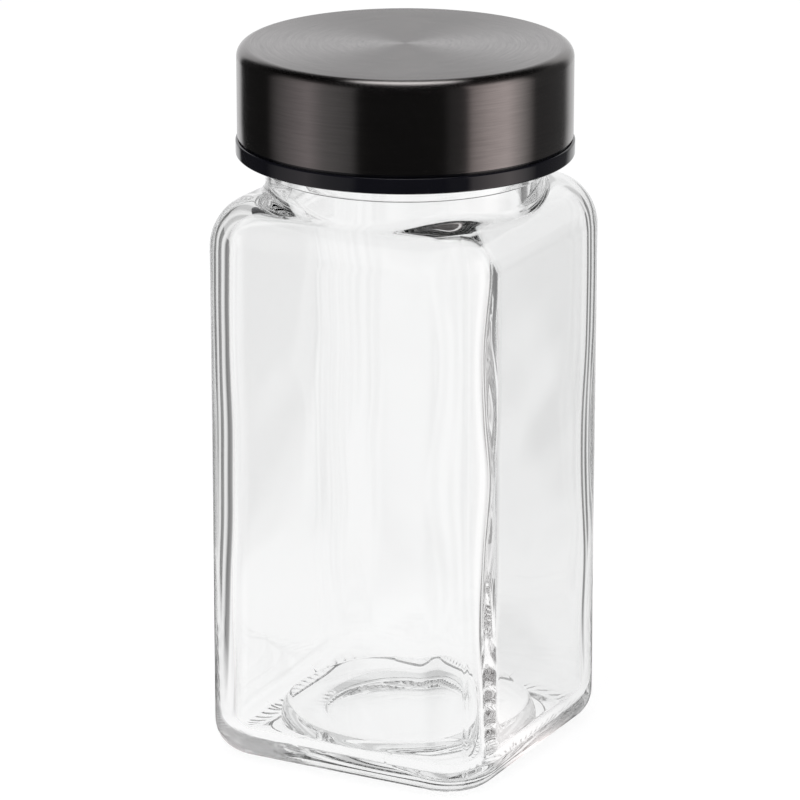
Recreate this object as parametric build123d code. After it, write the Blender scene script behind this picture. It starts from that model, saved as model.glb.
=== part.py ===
"""A square glass spice jar with a round screw neck and a two-part screw lid.

The jar stands on Z = 0 with its axis on Z and its four flat walls square to X and Y.
The lid is a drawn steel shell over a threaded plastic insert, which presses a foam
liner onto the rim of the glass. All sizes are in millimetres.
"""

import os
from math import asin, cos, radians, sin

from build123d import *

# Glass body, outside
BODY_WIDTH = 48.0
BODY_CORNER_RADIUS = 8.7
SHOULDER_TOP = 88.5
SHOULDER_RADIUS = 8.2
HEEL_RADIUS = 4.8

# Glass body, inside: the floor has a raised round disc, and is thin in the corners round it
WALL = 2.7
FLOOR_THICKNESS = 3.0
FLOOR_DISC_INSET = 2.15
FLOOR_DISC_RISE = 2.5
FLOOR_DISC_ROUND = 1.8
INNER_HEEL_RADIUS = 3.6
SHOULDER_WALL = 2.9
INNER_SHOULDER_RADIUS = 5.2
INNER_CORNER_RADIUS = 7.2
# The pressed-and-blown wall is thicker and thinner up its height: shares of the wall and of
# the inner corner radius at evenly spaced heights, from the bottom section to the top.
SECTION_WALL_SHARES = (1.16, 1.06, 0.99, 1.07, 1.12, 1.04, 1.0, 1.0)
SECTION_CORNER_SHARES = (0.90, 0.94, 1.0, 1.06, 1.07, 1.0, 0.95, 0.92)

# Underside: a flat bearing ring, a rounded-square raised panel and a round dished recess
BEARING_WIDTH = 1.7
PANEL_RISE = 0.6
PANEL_EDGE = 0.5
PUNT_LEDGE = 5.5
PUNT_EDGE_RISE = 0.25
PUNT_DISH = 0.8

# Neck and its screw finish
NECK_INSET = 2.9
NECK_BLEND_RADIUS = 1.2
NECK_HEIGHT = 18.7
BEAD_RISE = 2.5
BEAD_HEIGHT = 1.9
BEAD_OVERHANG = 0.45
BEAD_ROUND = 0.4
FINISH_STEP = 1.1
FINISH_WALL = 2.5
MOUTH_BLEND_RADIUS = 1.2
RIM_ROUND = 0.7

# Screw thread: one start, right-handed, so the lid rises as it turns counter-clockwise
THREAD_PITCH = 4.2
GLASS_THREAD_TURNS = 1.4
GLASS_THREAD_HEIGHT = 1.05
GLASS_THREAD_ROOT = 2.4
GLASS_THREAD_TIP = 1.1
GLASS_THREAD_DROP = 2.6
LID_THREAD_TURNS = 1.15
LID_THREAD_HEIGHT = 1.0
LID_THREAD_ROOT = 1.6
LID_THREAD_TIP = 0.8
LID_THREAD_RAISE = 4.6
THREAD_FLANK_GAP = 0.15
THREAD_SUNK = 0.35
THREAD_ROUND = 0.25
RAMP_ANGLE = 20.0

# Lid
SHELL_STANDOFF = 2.25
SHELL_THICKNESS = 0.4
SHELL_EDGE_RADIUS = 1.8
SHELL_LIP_ROUND = 0.12
SHELL_GAP = 0.4
LINER_THICKNESS = 1.2
LINER_SIDE_CLEARANCE = 0.1
PLATE_THICKNESS = 1.2
SKIRT_LIFT = 0.4
SKIRT_WALL = 1.3
SKIRT_CLEARANCE = 0.3
SKIRT_LEAD_IN = 0.5
LINER_BEAD_DEPTH = 0.25
LINER_BEAD_HEIGHT = 0.5
FLANGE_HEIGHT = 2.4
FLANGE_OVERHANG = 0.25
FLANGE_ROUND = 0.35
SPIGOT_HEIGHT = 1.6
SPIGOT_CLEARANCE = 0.05
RIB_COUNT = 24
RIB_WIDTH = 1.2
CROWN_STEP = 1.4

# Helpers for cutting and for picking edges
OVERRUN = 1.0
EDGE_TOLERANCE = 0.001
EDGE_TEST_SHARES = (0.0, 0.3, 0.7, 1.0)
FILLET_LIMIT_SHARE = 0.96
LIP_LIMIT_SHARE = 0.45

# Places worked out from the sizes above
neck_radius = BODY_WIDTH / 2 - NECK_INSET
finish_radius = neck_radius - FINISH_STEP
mouth_radius = finish_radius - FINISH_WALL
glass_thread_radius = finish_radius + GLASS_THREAD_HEIGHT
skirt_bore = glass_thread_radius + SKIRT_CLEARANCE
skirt_radius = skirt_bore + SKIRT_WALL
shell_bore = skirt_radius + SHELL_STANDOFF
shell_radius = shell_bore + SHELL_THICKNESS
liner_radius = skirt_bore - LINER_SIDE_CLEARANCE
bead_bottom = SHOULDER_TOP + BEAD_RISE
bead_top = bead_bottom + BEAD_HEIGHT
rim_z = SHOULDER_TOP + NECK_HEIGHT
liner_top = rim_z + LINER_THICKNESS
plate_top = liner_top + PLATE_THICKNESS
lid_top = plate_top + SHELL_THICKNESS
skirt_bottom = bead_top + SKIRT_LIFT
flange_top = skirt_bottom + FLANGE_HEIGHT
shell_bottom = flange_top + SHELL_GAP
glass_thread_low = rim_z - GLASS_THREAD_DROP - THREAD_PITCH * GLASS_THREAD_TURNS
lid_thread_low = skirt_bottom + LID_THREAD_RAISE


def rounded_square(width, corner, z):
    """A square face with rounded corners, level at height z."""
    return Pos(0, 0, z) * RectangleRounded(width, width, corner)


def cylinder_between(radius, low, high):
    """A solid cylinder on the jar's axis from one height to another."""
    return Pos(0, 0, low) * extrude(Circle(radius), high - low)


def square_block(width, corner, low, high):
    """A solid with a rounded-square plan from one height to another."""
    return extrude(rounded_square(width, corner, low), high - low)


def level_edges(solid, z):
    """The edges of a solid that lie level at height z."""
    found = []
    for edge in solid.edges():
        box = edge.bounding_box()
        if abs(box.min.Z - z) < EDGE_TOLERANCE and abs(box.max.Z - z) < EDGE_TOLERANCE:
            found.append(edge)
    return found


def edges_on_cylinder(solid, radius, low, high):
    """The curved edges of a solid that follow a cylinder of this radius between two heights."""
    found = []
    for edge in solid.edges():
        box = edge.bounding_box()
        points = [edge @ share for share in EDGE_TEST_SHARES]
        near = all(abs(Vector(p.X, p.Y).length - radius) < EDGE_TOLERANCE for p in points)
        inside = box.min.Z > low - EDGE_TOLERANCE and box.max.Z < high + EDGE_TOLERANCE
        if near and inside and edge.geom_type != GeomType.LINE:
            found.append(edge)
    return found


def thread_ridge(root_radius, tip_radius, root_width, tip_width, low, turns, start_angle):
    """A helical ridge from the wall at root_radius to tip_radius, its centre starting at height low.

    The ridge runs a little into the wall so that the two join, and both its ends ramp
    down into the wall.
    """
    outwards = 1 if tip_radius > root_radius else -1
    sunk_radius = root_radius - outwards * THREAD_SUNK
    widening = THREAD_SUNK * (root_width - tip_width) / (2 * abs(tip_radius - root_radius))
    path = Helix(pitch=THREAD_PITCH, height=THREAD_PITCH * turns, radius=root_radius)
    profile = Plane.XZ * make_face(Polyline(
        (sunk_radius, -root_width / 2 - widening),
        (tip_radius, -tip_width / 2),
        (tip_radius, tip_width / 2),
        (sunk_radius, root_width / 2 + widening),
        close=True,
    ))
    tip_corners = [v for v in profile.vertices() if abs(v.X - tip_radius) < EDGE_TOLERANCE]
    profile = fillet(tip_corners, THREAD_ROUND)
    ridge = sweep(profile, path=path, is_frenet=True)
    wedge = end_wedge(root_radius, tip_radius, root_width)
    ridge -= wedge
    ridge -= Pos(0, 0, THREAD_PITCH * turns) * Rot(0, 0, 360 * turns) * mirror(wedge, Plane.XZ)
    return Pos(0, 0, low) * Rot(0, 0, start_angle) * ridge


def end_wedge(root_radius, tip_radius, width):
    """What is cut from a ridge's start, so that it rises out of the wall over RAMP_ANGLE."""
    turn = radians(RAMP_ANGLE)
    root = Vector(root_radius, 0)
    tip = Vector(tip_radius * cos(turn), tip_radius * sin(turn))
    along = (tip - root).normalized()
    reach = 2 * THREAD_PITCH
    across = Vector(along.Y, -along.X)
    if across.dot(Vector(tip_radius - root_radius, 0)) < 0:
        across = -across
    start = root - along * reach
    end = tip + along * width
    corners = [start, end, end + across * reach, start + across * reach]
    outline = make_face(Polyline(*[(c.X, c.Y) for c in corners], close=True))
    return Pos(0, 0, -width) * extrude(outline, 2 * width)


def body_outside():
    """The glass block before it is hollowed: square body, rolled shoulder, heel and neck."""
    largest_round = FILLET_LIMIT_SHARE * BODY_CORNER_RADIUS
    body = square_block(BODY_WIDTH, BODY_CORNER_RADIUS, 0, SHOULDER_TOP)
    body = fillet(level_edges(body, SHOULDER_TOP), min(SHOULDER_RADIUS, largest_round))
    body = fillet(level_edges(body, 0), min(HEEL_RADIUS, largest_round))
    neck_low = SHOULDER_TOP - SHOULDER_RADIUS
    body += cylinder_between(neck_radius, neck_low, bead_bottom + BEAD_HEIGHT / 2)
    body = fillet(edges_on_cylinder(body, neck_radius, neck_low, bead_bottom), NECK_BLEND_RADIUS)
    finish = cylinder_between(finish_radius, neck_low, rim_z)
    bead = cylinder_between(neck_radius + BEAD_OVERHANG, bead_bottom, bead_top)
    bead_round = min(BEAD_ROUND, LIP_LIMIT_SHARE * BEAD_HEIGHT)
    bead = fillet(level_edges(bead, bead_bottom) + level_edges(bead, bead_top), bead_round)
    return body + finish + bead


def base_recess():
    """What is taken out under the jar: the raised panel and the dished punt inside it."""
    panel_width = BODY_WIDTH - 2 * (HEEL_RADIUS + BEARING_WIDTH)
    panel = loft([
        rounded_square(panel_width, BODY_CORNER_RADIUS, 0),
        rounded_square(panel_width - 2 * PANEL_EDGE, BODY_CORNER_RADIUS - PANEL_EDGE, PANEL_RISE),
    ])
    outer = panel_width / 2 - PUNT_LEDGE
    inner = outer - PANEL_EDGE
    edge_z = PANEL_RISE + PUNT_EDGE_RISE
    crown_z = edge_z + PUNT_DISH
    dish_radius = (inner**2 + PUNT_DISH**2) / (2 * PUNT_DISH)
    half_angle = asin(inner / dish_radius) / 2
    on_dish = (dish_radius * sin(half_angle), crown_z - dish_radius * (1 - cos(half_angle)))
    outline = [
        Line((0, 0), (outer, 0)),
        Line((outer, 0), (outer, PANEL_RISE)),
        Line((outer, PANEL_RISE), (inner, edge_z)),
        ThreePointArc((inner, edge_z), on_dish, (0, crown_z)),
        Line((0, crown_z), (0, 0)),
    ]
    punt = revolve(Plane.XZ * make_face(outline), Axis.Z)
    return panel + punt


def cavity():
    """The inside of the jar, from the floor up through the mouth."""
    low = FLOOR_THICKNESS + INNER_HEEL_RADIUS
    ceiling = SHOULDER_TOP - SHOULDER_WALL
    high = ceiling - INNER_SHOULDER_RADIUS
    widths = [BODY_WIDTH - 2 * WALL * share for share in SECTION_WALL_SHARES]
    corners = [INNER_CORNER_RADIUS * share for share in SECTION_CORNER_SHARES]
    spacing = (high - low) / (len(widths) - 1)
    sections = []
    for n, (width, corner) in enumerate(zip(widths, corners)):
        sections.append(rounded_square(width, corner, low + n * spacing))
    middle = loft(sections)
    bottom = square_block(widths[0], corners[0], FLOOR_THICKNESS, low)
    bottom_round = FILLET_LIMIT_SHARE * min(INNER_HEEL_RADIUS, corners[0])
    bottom = fillet(level_edges(bottom, FLOOR_THICKNESS), bottom_round)
    top = square_block(widths[-1], corners[-1], high, ceiling)
    top_round = FILLET_LIMIT_SHARE * min(INNER_SHOULDER_RADIUS, corners[-1])
    top = fillet(level_edges(top, ceiling), top_round)
    top += cylinder_between(mouth_radius, high, rim_z + OVERRUN)
    top = fillet(edges_on_cylinder(top, mouth_radius, high, rim_z), MOUTH_BLEND_RADIUS)
    return middle + bottom + top - floor_disc(widths[0])


def floor_disc(floor_width):
    """The raised round middle of the floor, set in from the walls, which stays glass."""
    disc_top = FLOOR_THICKNESS + FLOOR_DISC_RISE
    disc = cylinder_between(floor_width / 2 - FLOOR_DISC_INSET, 0, disc_top)
    disc_round = min(FLOOR_DISC_ROUND, FILLET_LIMIT_SHARE * FLOOR_DISC_RISE)
    return fillet(level_edges(disc, disc_top), disc_round)


def glass_jar():
    """The jar itself: one piece of glass."""
    jar = body_outside() - base_recess() - cavity()
    jar = fillet(level_edges(jar, rim_z), min(RIM_ROUND, LIP_LIMIT_SHARE * FINISH_WALL))
    jar += thread_ridge(
        finish_radius,
        glass_thread_radius,
        GLASS_THREAD_ROOT,
        GLASS_THREAD_TIP,
        glass_thread_low,
        GLASS_THREAD_TURNS,
        0,
    )
    return jar


def lid_shell():
    """The drawn steel cup that covers the insert."""
    outside = cylinder_between(shell_radius, shell_bottom, lid_top)
    outside = fillet(level_edges(outside, lid_top), SHELL_EDGE_RADIUS)
    inside = cylinder_between(shell_bore, shell_bottom - OVERRUN, plate_top)
    inside = fillet(level_edges(inside, plate_top), SHELL_EDGE_RADIUS - SHELL_THICKNESS)
    shell = outside - inside
    lip_round = min(SHELL_LIP_ROUND, LIP_LIMIT_SHARE * SHELL_THICKNESS)
    return fillet(level_edges(shell, shell_bottom), lip_round)


def screw_insert():
    """The moulded cap inside the shell: plate, threaded skirt, ribs and the flange that shows below."""
    spigot_radius = shell_bore - SPIGOT_CLEARANCE
    spigot_top = shell_bottom + SPIGOT_HEIGHT
    insert = cylinder_between(skirt_radius, skirt_bottom, plate_top)
    insert += cylinder_between(shell_bore - CROWN_STEP, liner_top, plate_top)
    insert += cylinder_between(spigot_radius, skirt_bottom, spigot_top)
    insert += flange()
    insert += outer_ribs(spigot_radius, spigot_top)
    insert -= cylinder_between(skirt_bore, skirt_bottom - OVERRUN, liner_top)
    mouth_edges = edges_on_cylinder(insert, skirt_bore, skirt_bottom, skirt_bottom)
    insert = chamfer(mouth_edges, SKIRT_LEAD_IN)
    insert += liner_bead()
    insert += thread_ridge(
        skirt_bore,
        skirt_bore - LID_THREAD_HEIGHT,
        LID_THREAD_ROOT,
        LID_THREAD_TIP,
        lid_thread_low,
        LID_THREAD_TURNS,
        lid_thread_start(),
    )
    return insert


def flange():
    """The ring of the insert that shows under the shell."""
    ring = cylinder_between(shell_radius + FLANGE_OVERHANG, skirt_bottom, flange_top)
    ring_round = min(FLANGE_ROUND, LIP_LIMIT_SHARE * FLANGE_HEIGHT)
    return fillet(level_edges(ring, skirt_bottom) + level_edges(ring, flange_top), ring_round)


def outer_ribs(outer_radius, low):
    """The upright ribs that centre the insert in the shell, as one list of boxes."""
    inner_radius = skirt_radius - SKIRT_WALL / 2
    length = outer_radius - inner_radius
    height = liner_top - low
    rib = Pos(inner_radius + length / 2, 0, low + height / 2) * Box(length, RIB_WIDTH, height)
    return [Rot(0, 0, n * 360 / RIB_COUNT) * rib for n in range(RIB_COUNT)]


def liner_bead():
    """The small ridge inside the skirt that the liner snaps over, so that it stays in the lid."""
    low = rim_z - LINER_BEAD_HEIGHT
    ring = cylinder_between(skirt_bore + SKIRT_WALL / 2, low, rim_z)
    return ring - cylinder_between(skirt_bore - LINER_BEAD_DEPTH, low - OVERRUN, rim_z + OVERRUN)


def lid_thread_start():
    """The angle at which the lid's thread starts, so that it lies just under the glass thread."""
    glass_half = (GLASS_THREAD_ROOT + GLASS_THREAD_TIP) / 4
    lid_half = (LID_THREAD_ROOT + LID_THREAD_TIP) / 4
    drop = glass_half + lid_half + THREAD_FLANK_GAP
    return 360 * (lid_thread_low - glass_thread_low + drop) / THREAD_PITCH


def seal_liner():
    """The foam disc between the plate and the rim of the glass."""
    return cylinder_between(liner_radius, rim_z, liner_top)


def main():
    """Write each piece to its own file, named after it."""
    os.makedirs("parts", exist_ok=True)
    for make in (glass_jar, lid_shell, screw_insert, seal_liner):
        export_step(make(), f"parts/{make.__name__}.step")


main()
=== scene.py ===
"""A square glass spice jar with a dark brushed-steel screw lid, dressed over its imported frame.

Sizes are in metres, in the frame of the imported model: the jar stands on Z = 0 with its axis
on Z and its four walls square to X and Y.
"""

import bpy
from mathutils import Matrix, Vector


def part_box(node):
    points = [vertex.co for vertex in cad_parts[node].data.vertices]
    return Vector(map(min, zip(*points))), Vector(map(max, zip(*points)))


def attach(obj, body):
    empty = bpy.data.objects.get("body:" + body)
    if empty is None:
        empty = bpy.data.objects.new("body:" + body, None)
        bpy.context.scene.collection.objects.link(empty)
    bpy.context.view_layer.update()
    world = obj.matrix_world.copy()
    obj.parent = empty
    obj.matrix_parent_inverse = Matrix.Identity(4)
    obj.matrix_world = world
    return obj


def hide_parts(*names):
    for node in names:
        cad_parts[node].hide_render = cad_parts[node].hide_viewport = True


bl_info = {
    "name": "Spice Jar",
    "version": (1, 0, 0),
    "blender": (4, 5, 0),
    "location": "View3D > Sidebar > Spice Jar",
    "description": "Makes a square glass spice jar with a brushed-steel screw lid and its studio",
    "category": "Add Mesh",
}

from math import cos, pi, radians, sin, sqrt, tau

import bpy
import numpy as np
from bpy.props import FloatProperty, FloatVectorProperty, IntProperty, PointerProperty
from mathutils import Vector

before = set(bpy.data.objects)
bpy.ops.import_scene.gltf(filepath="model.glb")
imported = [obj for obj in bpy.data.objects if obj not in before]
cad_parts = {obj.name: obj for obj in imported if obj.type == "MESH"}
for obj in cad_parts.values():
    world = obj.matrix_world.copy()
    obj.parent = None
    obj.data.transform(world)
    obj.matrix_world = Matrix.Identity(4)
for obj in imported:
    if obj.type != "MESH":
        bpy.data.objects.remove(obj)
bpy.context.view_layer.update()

GLASS_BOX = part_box("glass_jar")
SHELL_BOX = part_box("lid_shell")
INSERT_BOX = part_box("screw_insert")
LINER_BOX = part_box("seal_liner")

# How finely the pieces are meshed
OCTANT_COLUMNS = 40
CORNER_CROWDING = 0.55
KNURL_DIVISION = 4
LATHE_COLUMNS = 256
STUDIO_FLOOR_COLUMNS = 96
THREAD_STEPS_PER_TURN = 96
CURVE_SAMPLES = 500
BISECTION_STEPS = 40
SHARP_ANGLE = radians(38)
POLE_REACH = 1e-9

# Steps on the rounded edges of the lid and its liner
WIDE_EDGE_STEPS = 20
RING_EDGE_STEPS = 8
THIN_EDGE_STEPS = 4

# Rings of the glass, from the middle of its underside round to the middle of its floor
DISH_STEPS = 10
HEEL_STEPS = 10
WALL_RINGS = 10
SHOULDER_STEPS = 18
BLEND_STEPS = 8
BEAD_STEPS = 5
THREAD_RINGS = 52
RIM_STEPS = 6
BORE_RINGS = 6
INNER_SHOULDER_STEPS = 16
INNER_WALL_RINGS = 65
INNER_HEEL_STEPS = 18
DISC_EDGE_STEPS = 10
DISC_RINGS = 5

# The wall of the pressed-and-blown jar is thicker and thinner up its height: shares of the
# wall and of the inner corner radius, at evenly spaced heights from the floor up.
WALL_SHARES = (1.16, 1.06, 0.99, 1.07, 1.12, 1.04, 1.0, 1.0)
# The corners differ a little inside: a row for each, from the one between +X and +Y round.
INNER_CORNER_SHARES = (
    (0.76, 0.90, 0.86, 0.95, 0.97, 0.88, 0.84, 0.86),
    (0.80, 0.84, 0.86, 0.86, 0.84, 0.85, 0.84, 0.86),
    (0.76, 0.81, 0.83, 0.84, 0.84, 0.84, 0.84, 0.86),
    (0.74, 0.66, 0.62, 0.70, 0.84, 0.72, 0.66, 0.84),
)
# Where the fine rings of the base lie, going outwards: shares of the bearing ring's width and
# then of the heel's radius. The rest of the heel turns on from an angle in degrees.
BEARING_SHARES = (1, 13 / 17, 8 / 17, 3 / 17, 0)
HEEL_SHARES = (42 / 48, 35 / 48, 29 / 48, 24 / 48)
HEEL_START = 36
# The rings on the punt's bevel, as shares of its width and of its height.
PUNT_EDGE_SHARES = ((1 / 3, 0.28), (2 / 3, 0.72))

# Small places on the glass, in metres: the smallest corner of a ring, the bevel where the
# finish rises from the bead, how far over the bead the rings of the thread start and how far
# under the rounded rim they end, and how far over the shoulder the straight bore ends.
SMALLEST_CORNER = 0.001
BEVEL_WIDTH = 0.0003
BEVEL_HEIGHT = 0.0002
THREAD_ROOM = 0.004
RIM_ROOM = 0.0002
BORE_ROOM = 0.0015
# Both threads rise over this angle, and the lid's starts at this share of its height.
THREAD_RUN_OUT = radians(20)
THREAD_END_SHARE = 0.02
# The strokes of the bearing ring lie between two insets from the wall and fade over a width at
# each of them. They are pressed only into what lies lower than the top.
KNURL_OUTER, KNURL_INNER = 0.0026, 0.0064
KNURL_OUTER_FADE, KNURL_INNER_FADE = 0.0006, 0.0005
KNURL_TOP = 0.0006
# The mould seams run up the front corner and the one opposite.
SEAM_ANGLES = (1.75 * pi, 0.75 * pi)
# The waves inside the glass, as (strength, waves round the jar, start, turn to the metre up),
# with the last two in radians, and how quickly they fade in from both ends of the wall.
RIPPLE_WAVES = (
    (1.0, 2, 0.9, 95.0),
    (0.8, 3, 4.1, -160.0),
    (0.6, 5, 2.2, 260.0),
    (0.5, 4, 0.4, -430.0),
)
RIPPLE_FADE = 6.0


def length(name, default, description):
    """A property for one size in metres."""
    return FloatProperty(
        name=name, default=default, description=description, min=0.0, precision=5, unit="LENGTH"
    )


def number(name, default, description, low):
    """A property for a plain number."""
    return FloatProperty(name=name, default=default, description=description, min=low)


def whole_number(name, default, description, low):
    """A property for how many there are of something."""
    return IntProperty(name=name, default=default, description=description, min=low)


def turn_in_degrees(name, default, description):
    """A property for an angle, whose default is given in degrees."""
    return FloatProperty(
        name=name, default=radians(default), description=description, subtype="ANGLE"
    )


def colour(name, default, description):
    """A property for one linear colour."""
    return FloatVectorProperty(
        name=name, default=default, description=description, size=3, min=0.0, max=1.0,
        subtype="COLOR",
    )


class JarGlassSizes(bpy.types.PropertyGroup):
    """Sizes of the glass jar."""

    body_width: length("Body width", GLASS_BOX[1][0] - GLASS_BOX[0][0], "Width across two flat walls")
    corner_radius: length("Corner radius", 0.0087, "Radius of the upright corners")
    shoulder_top: length("Shoulder top", 0.0885, "Height of the top of the shoulder")
    shoulder_radius: length("Shoulder radius", 0.0082, "Radius of the rolled shoulder")
    heel_radius: length("Heel radius", 0.0048, "Radius between the walls and the base")
    wall: length("Wall", 0.0027, "Wall thickness, of which every height has its share")
    floor_thickness: length("Floor thickness", 0.0030, "Height of the floor in the corners, round the disc")
    disc_inset: length("Disc inset", 0.00215, "Gap between the walls and the raised round disc of the floor")
    disc_rise: length("Disc rise", 0.0025, "Height of the disc over the corners of the floor")
    disc_round: length("Disc round", 0.0018, "Radius on the edge of the disc")
    shoulder_wall: length("Shoulder wall", 0.0029, "Thickness of glass at the shoulder")
    inner_corner_radius: length("Inner corner radius", 0.0072, "Radius of which every corner has its share")
    inner_heel_radius: length("Inner heel radius", 0.003456, "Radius round the inside of the floor")
    inner_shoulder_radius: length("Inner shoulder radius", 0.00499, "Radius inside the shoulder")
    bearing_width: length("Bearing width", 0.0017, "Width of the ring that the jar stands on")
    panel_rise: length("Panel rise", 0.0006, "Height of the raised panel under the base")
    panel_edge: length("Panel edge", 0.0005, "Width of the bevel round panel and punt")
    punt_ledge: length("Punt ledge", 0.0055, "Flat ledge between the edge of the panel and the punt")
    punt_edge_rise: length("Punt edge rise", 0.00025, "Height of the punt's bevel")
    punt_dish: length("Punt dish", 0.0008, "Rise of the dished centre of the base")
    neck_radius: length("Neck radius", 0.0211, "Radius of the neck below the bead")
    neck_blend: length("Neck blend", 0.0012, "Radius between the shoulder and the neck")
    bead_low: length("Bead bottom", 0.0910, "Height of the underside of the neck bead")
    bead_height: length("Bead height", 0.0019, "Height of the neck bead")
    bead_overhang: length("Bead overhang", 0.00045, "How far the bead stands out from the neck")
    bead_round: length("Bead round", 0.0004, "Radius on the edges of the bead")
    finish_radius: length("Finish radius", 0.0200, "Radius of the neck behind the thread")
    mouth_radius: length("Mouth radius", 0.0175, "Radius of the bore")
    mouth_blend: length("Mouth blend", 0.0030, "Radius from the bore into the shoulder")
    rim_round: length("Rim round", 0.0007, "Radius on the edges of the rim")
    thread_low: length("Thread start", 0.09872, "Height at which the thread starts")
    thread_pitch: length("Thread pitch", 0.0042, "Rise of the thread in one turn")
    thread_turns: number("Thread turns", 1.4, "Length of the thread in turns", 0.2)
    thread_height: length("Thread height", 0.00105, "How far the thread stands out")
    thread_root: length("Thread root", 0.0024, "Width of the thread at its root")
    thread_tip: length("Thread tip", 0.0011, "Width of the thread at its tip")
    ripple: length("Ripple", 0.00012, "Height of the ripples inside the glass")
    seam_height: length("Seam height", 0.00005, "Height of the mould seams")
    knurl_depth: length("Knurl depth", 0.00012, "Depth of the strokes in the bearing ring")
    knurl_strokes: whole_number("Knurl strokes", 80, "Strokes round the bearing ring", 8)


class JarLidSizes(bpy.types.PropertyGroup):
    """Sizes of the two-part lid and its liner."""

    shell_radius: length(
        "Shell radius", (SHELL_BOX[1][0] - SHELL_BOX[0][0]) / 2, "Outside radius of the steel shell"
    )
    shell_thickness: length("Shell thickness", 0.0004, "Thickness of the steel")
    shell_edge: length("Shell edge", 0.0018, "Radius between the top and the side of the shell")
    shell_lip: length("Shell lip", 0.00012, "Radius on the cut edge of the steel")
    flange_radius: length(
        "Flange radius", (INSERT_BOX[1][0] - INSERT_BOX[0][0]) / 2, "Radius of the ring under the shell"
    )
    flange_height: length("Flange height", 0.0024, "Height of the ring under the shell")
    flange_round: length("Flange round", 0.00035, "Radius on the edges of the ring")
    spigot_height: length("Spigot height", 0.0016, "How far the spigot goes up inside the shell")
    spigot_clearance: length("Spigot clearance", 0.00005, "Gap between the spigot and the shell")
    shell_gap: length("Shell gap", 0.0004, "Gap between the shell and the ring")
    skirt_bore: length("Skirt bore", 0.02135, "Radius inside the threaded skirt")
    skirt_wall: length("Skirt wall", 0.0013, "Thickness of the skirt")
    skirt_lead: length("Skirt lead-in", 0.0005, "Bevel at the mouth of the skirt")
    crown_step: length("Crown step", 0.0014, "Gap between the edge of the plate and the shell")
    liner_bead: length("Liner bead", 0.00025, "How far the bead that holds the liner stands in")
    liner_bead_height: length("Liner bead height", 0.0005, "Height of that bead")
    thread_low: length("Thread start", 0.0979, "Height at which the lid's thread starts")
    thread_turns: number("Thread turns", 1.15, "Length of the lid's thread in turns", 0.2)
    thread_height: length("Thread height", 0.0010, "How far the lid's thread stands in")
    thread_root: length("Thread root", 0.0016, "Width of the lid's thread at its root")
    thread_tip: length("Thread tip", 0.0008, "Width of the lid's thread at its tip")
    thread_turned: turn_in_degrees("Thread turned", 69.0, "Where the lid's thread starts")
    rib_width: length("Rib width", 0.0012, "Width of an upright rib")
    rib_count: whole_number("Ribs", 24, "Upright ribs round the skirt", 3)
    liner_round: length("Liner round", 0.00012, "Radius on the cut edge of the liner")


class JarFinishes(bpy.types.PropertyGroup):
    """Colours of the finishes."""

    glass: colour("Glass", (0.992, 0.994, 0.994), "Tint of the clear glass")
    steel: colour("Steel", (0.185, 0.175, 0.172), "Reflection of the black-tinted steel")
    plastic: colour("Plastic", (0.004, 0.004, 0.006), "Gloss black plastic")
    foam: colour("Foam", (0.86, 0.86, 0.84), "White foam of the liner")


class JarStudio(bpy.types.PropertyGroup):
    """The camera and the lights."""

    camera_azimuth: turn_in_degrees("Camera azimuth", 27.68, "Where the camera stands round the jar")
    camera_turn: turn_in_degrees("Camera turn", 0.0635, "How far the camera looks past the jar's axis")
    camera_pitch: turn_in_degrees("Camera pitch", 17.46, "How far the camera looks down")
    camera_lens: FloatProperty(
        name="Camera lens", default=209.1, unit="CAMERA", description="Focal length in millimetres"
    )
    camera_place: FloatVectorProperty(
        name="Camera place", default=(0.3150, -0.6006, 0.2674), size=3, subtype="TRANSLATION",
        description="Where the camera stands",
    )
    floor_radius: length("Floor radius", 6.0, "Radius of the pale floor")
    floor_drop: length("Floor drop", 0.0001, "How far the floor lies under the base")


# Meshes


def square_reach(angles, half, corner):
    """How far a rounded square reaches from its centre, in each direction."""
    folded = np.abs((angles + pi / 4) % (pi / 2) - pi / 4)
    along, across = np.cos(folded), np.sin(folded)
    flat = half - corner
    under_root = np.maximum(corner**2 - (flat * (along - across)) ** 2, 0.0)
    on_corner = flat * (along + across) + np.sqrt(under_root)
    return np.where(half * across <= flat * along, half / along, on_corner)


def arc(centre, radius, start, end, steps):
    """Points (reach, height) along an arc, its angles in degrees."""
    turns = np.radians(np.linspace(start, end, steps + 1))
    return [(centre[0] + radius * cos(t), centre[1] + radius * sin(t)) for t in turns]


class Rings:
    """Rings of a surface round the Z axis, with a reach and a height in each of its columns."""

    def __init__(self, angles):
        self.angles = angles
        self.reaches, self.heights = [], []

    def add(self, reach, height):
        """Adds one ring, from arrays or from single numbers that hold all round."""
        ones = np.ones(len(self.angles))
        self.reaches.append(reach * ones)
        self.heights.append(height * ones)

    def follow(self, outline):
        """Adds a ring for each pair (reach, height)."""
        for reach, height in outline:
            self.add(reach, height)


def mesh_from(name, points, faces):
    """A mesh from points and faces."""
    mesh = bpy.data.meshes.new(name)
    mesh.from_pydata(points, [], faces)
    mesh.validate()
    return mesh


def skin(name, bands):
    """A closed mesh through bands of rings, each band with its own columns.

    Rings run from one pole of the surface to the other, so that faces point outwards.
    """
    points, rings = [], []
    for band in bands:
        for reach, height in zip(band.reaches, band.heights):
            first = len(points)
            if np.max(reach) < POLE_REACH:
                points.append((0.0, 0.0, float(np.mean(height))))
            else:
                points.extend(zip(reach * np.cos(band.angles), reach * np.sin(band.angles), height))
            rings.append(range(first, len(points)))
    faces = []
    for low, high in zip(rings, rings[1:]):
        faces.extend(faces_between(low, high))
    return mesh_from(name, points, faces)


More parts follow.
